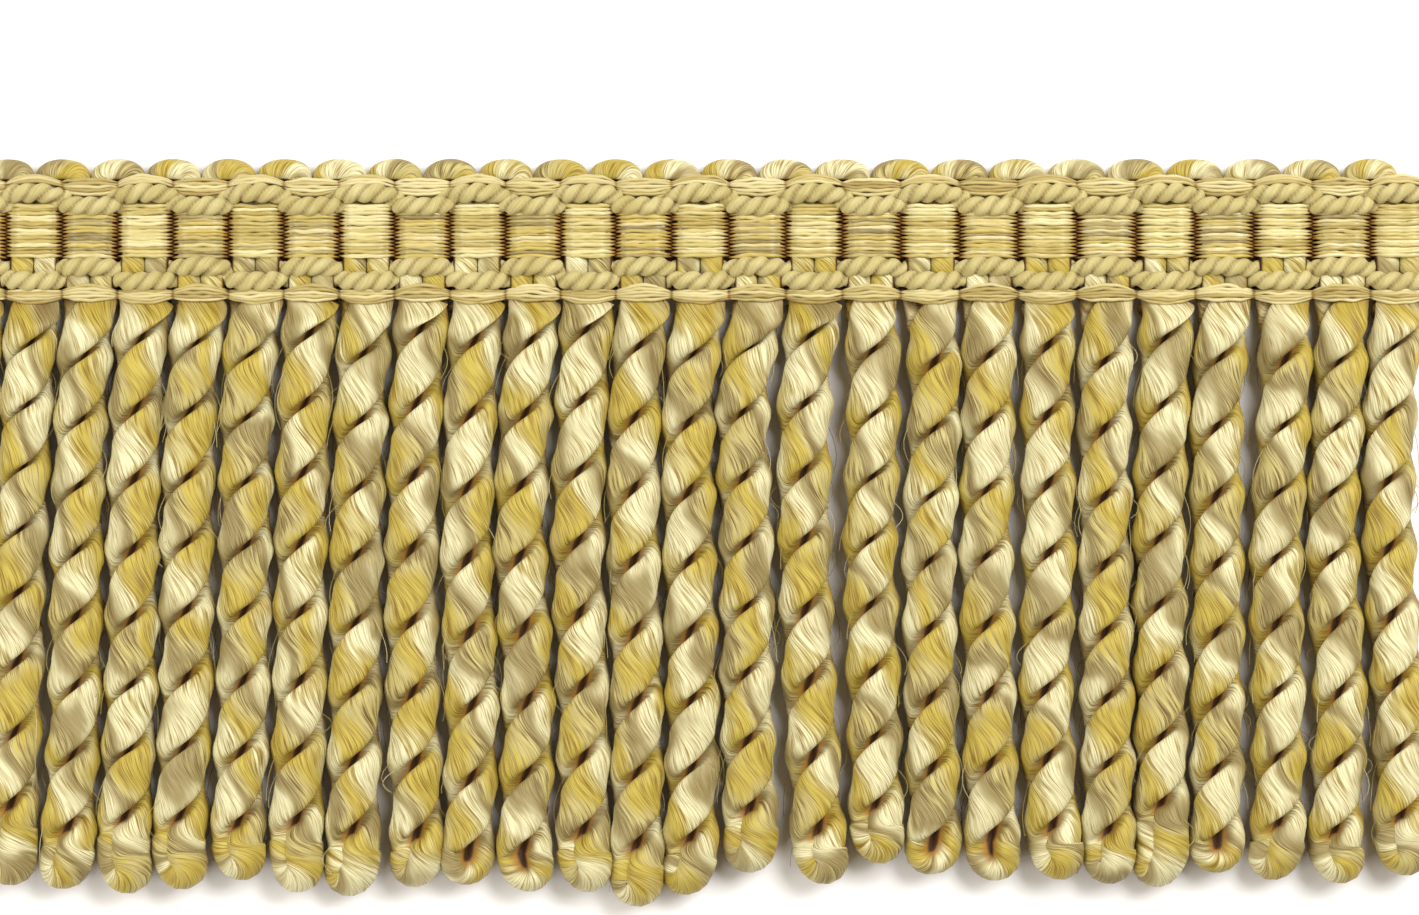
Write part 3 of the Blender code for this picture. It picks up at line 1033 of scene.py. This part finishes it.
@dataclass
class SatinFloats(Heading):
    """One of the two sets of fine threads that float over the middle of the heading."""

    name: str = "satin_floats"
    over: ColumnKind = ColumnKind.OUTER
    threads: int = 15
    top_y: float = 2.55
    bottom_y: float = -2.75
    crown_z: float = 2.95
    crown: float = 2.6
    dip: float = 0.36  # of the crown between the two weft yarns under it
    back_z: float = 0.34
    edge_z: float = 1.35
    steps: int = 16
    turn: float = 6.0
    shift: float = 0.0  # of the set, in threads, so that the two sets pass between one another
    tones: tuple[float, float] = (0.0, 1.0)
    section: Section = Section(sides=6, unevenness=0.3)

    def size(self, share: float) -> tuple[float, float]:
        """Returns half a thread's height and width: flat on the crown and narrow between columns."""
        pitch = (self.top_y - self.bottom_y) / self.threads
        squeezed = smoothstep((abs(share) - 0.5) / 0.5)
        return mix(0.2, 0.15, squeezed), mix(0.62, 0.28, squeezed) * pitch

    def dress(self, material: bpy.types.Material) -> bpy.types.Object:
        """Returns the set as one piece."""
        mesh = YarnMesh()
        draw = random.Random(31 + self.over.value)
        pitch = (self.top_y - self.bottom_y) / self.threads
        crown, back = self.crown_z, self.back_z
        outer = self.over is ColumnKind.OUTER
        for number in range(self.threads):
            y = self.top_y - (number + 0.5) * pitch
            between = y + self.shift * pitch
            lift = draw.uniform(-0.1, 0.1)
            heights = (crown + lift, back) if outer else (back, crown + lift)
            run = WarpRun(y, heights[0], y, heights[1], between, self.edge_z)
            shades = [draw.uniform(*self.tones) for _ in self.layout.cords]
            rings = self.warp_rings(
                run, self.steps, self.crown, self.size, shades.__getitem__, 0.13, number * 3.1
            )
            for ring, (_, share, _) in zip(rings, self.stations(self.steps)):
                dipped = ring.centre.z - self.dip * max(0.0, math.cos(math.pi * share))
                ring.centre.z = max(dipped, self.back_z)
            mesh.sweep(with_lengths(rings, self.turn, number * 1.7), self.section, number * 5.0)
        self.shade_creases(mesh)
        piece = mesh.piece(self.name, material)
        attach(piece, "root")
        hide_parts("heading")
        return piece

    def shade_creases(self, mesh: YarnMesh) -> None:
        """Paints shade on the stretches that dive between the columns, by their height."""
        low, high = self.edge_z - 0.1, self.crown_z - 0.3
        for vert in mesh.bm.verts:
            share = (vert.co.z / MM - low) / (high - low)
            vert[mesh.crease_shade_mask] = 1 - smoothstep(share)


@dataclass
class FlatBand(Heading):
    """A flat band of fine threads along one edge of the heading."""

    edge: Edge = Edge.TOP
    steps: int = 16
    turn: float = 5.0
    crown: float = 2.2
    wander: float = 0.16
    section: Section = Section(sides=8, unevenness=0.25)

    def runs(self) -> tuple[WarpRun, ...]:
        """Returns the courses of the band's threads, from its outer side to its inner one."""
        if self.edge is Edge.TOP:
            return (
                WarpRun(5.4, 2.45, 5.05, 2.3, 4.8, 1.6),
                WarpRun(5.12, 2.62, 4.68, 2.45, 4.62, 1.7),
                WarpRun(4.84, 2.7, 4.31, 2.5, 4.45, 1.7),
                WarpRun(4.3, 1.2, 3.94, 2.5, 4.25, 1.6),
                WarpRun(4.0, 1.0, 3.57, 2.4, 4.05, 1.5),
            )
        return (
            WarpRun(-7.25, 2.75, -6.98, 2.7, -6.72, 1.7),
            WarpRun(-6.97, 2.92, -6.62, 2.88, -6.58, 1.8),
            WarpRun(-6.67, 3.0, -6.26, 2.95, -6.43, 1.85),
            WarpRun(-6.38, 2.92, -5.9, 2.9, -6.28, 1.8),
            WarpRun(-6.1, 2.75, -5.55, 2.8, -6.12, 1.7),
        )

    def shadow(self, share: float) -> float:
        """Returns how much painted shade the band gets in the crease between two columns."""
        return 0.6 * smoothstep((abs(share) - 0.8) / 0.2)

    def size(self, share: float) -> tuple[float, float]:
        """Returns half a thread's height and width."""
        squeezed = smoothstep((abs(share) - 0.4) / 0.6)
        return mix(0.22, 0.16, squeezed), mix(0.2, 0.13, squeezed)

    def dress(self, material: bpy.types.Material) -> bpy.types.Object:
        """Returns the band as one piece."""
        mesh = YarnMesh()
        top = self.edge is Edge.TOP
        draw = random.Random(51 if top else 52)
        for number, run in enumerate(self.runs()):
            shades = [draw.uniform(0.15, 1.0) for _ in self.layout.cords]
            rings = self.warp_rings(
                run,
                self.steps,
                self.crown,
                self.size,
                shades.__getitem__,
                self.wander,
                number * 4.3,
                self.shadow,
            )
            mesh.sweep(with_lengths(rings, self.turn, number * 2.9), self.section, number * 8.0)
        piece = mesh.piece(f"{self.edge.value}_band", material)
        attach(piece, "root")
        if top:
            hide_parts("heading")
        else:
            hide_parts("fringe_left", "fringe_right")
        return piece


@dataclass(frozen=True)
class WeftPoint:
    """Where a weft yarn lies at one row of the heading, and how high it is there."""

    y: float
    height: float  # of its axis
    half_height: float


@dataclass
class WeftLoops(Heading):
    """The weft: two yarns in each column, which turn over to the next column in a loop."""

    half_width: float = 1.2
    leg_offset: float = 1.2  # from a column's middle to each of its two yarns
    leg_step: float = 0.38
    loop_y: float = 5.3
    loop_rise: float = 0.78
    loop_steps: int = 18
    loop_half_width: float = 1.12
    turn: float = 3.6
    section: Section = Section(sides=18, unevenness=0.08, deep_from=0.7)
    outer_rows: tuple[WeftPoint, ...] = (
        WeftPoint(-6.5, 1.45, 0.95),
        WeftPoint(-5.1, 1.0, 0.8),
        WeftPoint(-3.7, 2.0, 0.85),
        WeftPoint(-2.2, 1.5, 0.98),
        WeftPoint(1.6, 1.5, 0.98),
        WeftPoint(3.7, 1.05, 0.8),
        WeftPoint(5.3, 1.15, 0.95),
    )
    inner_rows: tuple[WeftPoint, ...] = (
        WeftPoint(-6.5, 1.4, 0.95),
        WeftPoint(-5.1, 2.0, 0.85),
        WeftPoint(-3.6, 1.0, 0.8),
        WeftPoint(-2.2, 1.5, 0.98),
        WeftPoint(1.2, 1.5, 0.98),
        WeftPoint(2.4, 1.0, 0.8),
        WeftPoint(5.3, 1.15, 0.95),
    )

    def leg(self, index: int, side: int) -> list[Ring]:
        """Returns one weft yarn of a column, from the lower edge up to its loop.

        Args:
            index: The column.
            side: -1 for its left yarn and 1 for its right one.

        Returns:
            The rings from the bottom up.
        """
        outer = self.layout.kind(index) is ColumnKind.OUTER
        rows = self.outer_rows if outer else self.inner_rows
        x = self.layout.cords[index].root + side * self.leg_offset
        count = round((rows[-1].y - rows[0].y) / self.leg_step)
        rings = []
        for step in range(count):
            y = mix(rows[0].y, rows[-1].y, step / count)
            span = max(i for i in range(len(rows) - 1) if rows[i].y <= y)
            share = smoothstep((y - rows[span].y) / (rows[span + 1].y - rows[span].y))
            height = mix(rows[span].height, rows[span + 1].height, share)
            half = mix(rows[span].half_height, rows[span + 1].half_height, share)
            rings.append(
                Ring(Vector((x, y, height)), Vector((-side, 0, 0)), self.half_width, half)
            )
        return rings

    def loop(self, left: float, right: float) -> list[Ring]:
        """Returns the half turn over the top edge from one x to another."""
        middle, reach = (left + right) / 2, (right - left) / 2
        rings = []
        for step in range(self.loop_steps + 1):
            angle = math.pi * step / self.loop_steps
            out = Vector((-math.cos(angle), math.sin(angle), 0.0))
            centre = Vector(
                (middle + out.x * reach, self.loop_y + out.y * self.loop_rise, 1.15)
            )
            half = mix(self.half_width, self.loop_half_width, math.sin(angle))
            lift = 0.1 * math.sin(angle)
            rings.append(Ring(centre, out, half, 0.95 + lift))
        return rings

    def dress(self, material: bpy.types.Material) -> bpy.types.Object:
        """Returns the weft as one piece."""
        mesh = YarnMesh()
        draw = random.Random(77)
        last = len(self.layout.cords) - 1
        courses = [self.leg(0, -1), self.leg(last, 1)]
        for index in range(last):
            rise, fall = self.leg(index, 1), self.leg(index + 1, -1)
            loop = self.loop(rise[0].centre.x, fall[0].centre.x)
            courses.append(rise + loop + fall[::-1])
        for rings in courses:
            mesh.sweep(
                with_lengths(rings, self.turn, draw.uniform(0, 60)),
                self.section,
                draw.uniform(0, 50),
            )
        piece = mesh.piece("weft_yarn", material)
        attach(piece, "root")
        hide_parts("heading")
        return piece


@dataclass
class ShadeSheet(Heading):
    """A thin dark sheet of fine binding threads inside the heading, seen only between its yarns, where
    it stands for the shade in the gaps.
    """

    low_y: float = -5.8
    high_y: float = 4.4
    height: float = 1.15
    thickness: float = 0.2
    swell: float = 0.25
    steps: int = 6
    rows: int = 8

    def dress(self, material: bpy.types.Material) -> bpy.types.Object:
        """Returns the dark sheet of cloth that lies flat in the heading, as painted shade between its
        yarns.
        """
        places = list(self.stations(self.steps))
        spans = len(places) - 1
        bm = bmesh.new()
        bmesh.ops.create_grid(bm, x_segments=spans, y_segments=self.rows, size=0.5)
        for vert in bm.verts:
            _, share, x = places[round((vert.co.x + 0.5) * spans)]
            y = mix(self.low_y, self.high_y, vert.co.y + 0.5)
            z = self.height + self.swell * math.cos(math.pi * share)
            vert.co = Vector((x, y, z)) * MM
        geom = bm.faces[:] + bm.edges[:] + bm.verts[:]
        bmesh.ops.solidify(bm, geom=geom, thickness=self.thickness * MM)
        bmesh.ops.recalc_face_normals(bm, faces=bm.faces)
        mesh = bpy.data.meshes.new("shade_sheet")
        bm.to_mesh(mesh)
        bm.free()
        mesh.shade_smooth()
        mesh.materials.append(material)
        piece = bpy.data.objects.new("shade_sheet", mesh)
        bpy.context.scene.collection.objects.link(piece)
        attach(piece, "root")
        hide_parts("heading")
        return piece

    def flat_size(self) -> tuple[float, float]:
        """Returns the width and length to which the sheet is cut, in metres."""
        edges = self.layout.edges()
        return (self.high_y - self.low_y) * MM, (edges[-1] - edges[0]) * MM


@dataclass
class Studio:
    """The white floor, the soft lights and the camera above the trim."""

    centre: tuple[float, float] = (-0.05, -22.75)  # of the photograph's frame
    frame_width: float = 141.9  # of the trim that the frame takes in
    focus_height: float = 2.6
    lens: float = 120.0
    sensor: float = 36.0

    def place_camera(self) -> None:
        """Puts the camera straight above the trim, with the photograph's frame."""
        data = bpy.data.cameras.new("camera")
        data.lens = self.lens
        data.sensor_width = self.sensor
        data.clip_start = 0.01
        data.clip_end = 10.0
        camera = bpy.data.objects.new("camera", data)
        distance = self.frame_width * self.lens / self.sensor
        camera.location = Vector((*self.centre, self.focus_height + distance)) * MM
        bpy.context.scene.collection.objects.link(camera)
        bpy.context.scene.camera = camera

    def lay_floor(self) -> None:
        """Lays a large white floor just under the trim."""
        bm = bmesh.new()
        bmesh.ops.create_grid(bm, x_segments=1, y_segments=1, size=2.0)
        bmesh.ops.translate(bm, verts=bm.verts, vec=(0.0, 0.0, -0.00002))
        mesh = bpy.data.meshes.new("floor")
        bm.to_mesh(mesh)
        bm.free()
        mesh.materials.append(FloorFinish().make())
        floor = bpy.data.objects.new("floor", mesh)
        bpy.context.scene.collection.objects.link(floor)
        floor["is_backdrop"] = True

    def area_light(self, name: str, place: Vector, size: float, power: float) -> None:
        """Hangs a square soft light that points at the trim.

        Args:
            name: The light's name.
            place: Where it hangs, in metres.
            size: The length of its sides, in metres.
            power: Its power in watts.
        """
        data = bpy.data.lights.new(name, "AREA")
        data.size = size
        data.energy = power
        light = bpy.data.objects.new(name, data)
        target = Vector((self.centre[0] * MM, self.centre[1] * MM, 0.0))
        light.location = place
        light.rotation_euler = (target - place).to_track_quat("-Z", "Y").to_euler()
        bpy.context.scene.collection.objects.link(light)

    def light(self) -> None:
        """Lights the trim softly, most of it from the upper right."""
        world = bpy.data.worlds.new("studio")
        world.use_nodes = True
        background = world.node_tree.nodes["Background"]
        background.inputs["Color"].default_value = (1.0, 0.8, 0.5, 1.0)
        background.inputs["Strength"].default_value = 0.22
        bpy.context.scene.world = world
        self.area_light("key", Vector((0.34, 0.26, 0.44)), 0.42, 5.3)
        self.area_light("fill", Vector((-0.38, 0.08, 0.34)), 0.3, 1.3)
        self.area_light("front", Vector((-0.34, -0.26, 0.34)), 0.3, 1.3)
        bpy.context.scene.view_settings.view_transform = "Standard"

    def build(self) -> None:
        """Sets up the whole studio."""
        self.place_camera()
        self.lay_floor()
        self.light()


def report(piece: bpy.types.Object) -> None:
    """Logs a piece's name and how many triangles it has."""
    piece.data.calc_loop_triangles()
    log.info("%s: %d triangles", piece.name, len(piece.data.loop_triangles))


def main() -> None:
    """Builds the trim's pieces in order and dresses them."""
    layout = Layout()
    silky = SilkyYarnFinish("silky_yarn").make()
    weft = SilkyYarnFinish(
        # edge is painted shade at the rim of a crease; shade_top keeps the painted floor shade low
        "weft_yarn", edge=linear(108, 72, 18), threads=15.0, cycle=0.5, shade_top=0.0012
    ).make()
    matt = MattCordFinish("matt_cord").make()
    light_satin = ThreadFinish(
        "light_satin",
        (linear(150, 126, 56), linear(188, 172, 106), linear(212, 202, 152)),
    ).make()
    grey_satin = ThreadFinish(
        "grey_satin",
        (
            linear(132, 114, 72),
            linear(172, 157, 100),
            linear(186, 164, 82),
            linear(208, 198, 154),
        ),
    ).make()
    band = ThreadFinish(
        "band_thread",
        (linear(142, 118, 56), linear(180, 163, 102), linear(206, 194, 144)),
        # edge and crease colours are painted shade where the threads dive between columns
        edge=linear(142, 106, 38),
        crease_shade=linear(96, 64, 16),
        roughness=0.55,
    ).make()
    half = layout.left_half
    count = len(layout.cords)
    groups = (
        ("fringe_cords_a", 0, 7, "fringe_left"),
        ("fringe_cords_b", 7, half, "fringe_left"),
        ("fringe_cords_c", half, 20, "fringe_right"),
        ("fringe_cords_d", 20, count, "fringe_right"),
    )
    pieces = []
    for name, first, last, node in groups:
        pieces.append(FringeCords(name, first, last, node, layout).dress(silky))
        report(pieces[-1])
    pieces.append(LooseFibres(layout).dress(silky))
    report(pieces[-1])
    pieces.append(WeftLoops(layout).dress(weft))
    report(pieces[-1])
    pieces.append(WarpCords(layout).dress(matt))
    report(pieces[-1])
    floats = (
        SatinFloats(layout, "floats_over_outer", ColumnKind.OUTER, shift=0.25, tones=(0.2, 1.0)),
        SatinFloats(layout, "floats_over_inner", ColumnKind.INNER, shift=-0.25, tones=(0.0, 1.0)),
    )
    for floated, material in zip(floats, (light_satin, grey_satin)):
        pieces.append(floated.dress(material))
        report(pieces[-1])
    for edge in Edge:
        pieces.append(FlatBand(layout, edge).dress(band))
        report(pieces[-1])
    # a dark sheet as painted shade between the heading's yarns
    shade_sheet = ShadeSheet(layout)
    sheet = shade_sheet.dress(ShadeSheetFinish("shade_sheet_threads").make())
    report(sheet)
    shade_sheet.flat_size()
    Studio().build()
    boxes = {"cad": CAD_BOX, "visual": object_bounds()}
    {key: [list(corner) for corner in box] for key, box in boxes.items()}


if __name__ == "__main__":
    logging.basicConfig(level=logging.INFO, format="%(message)s")
    main()
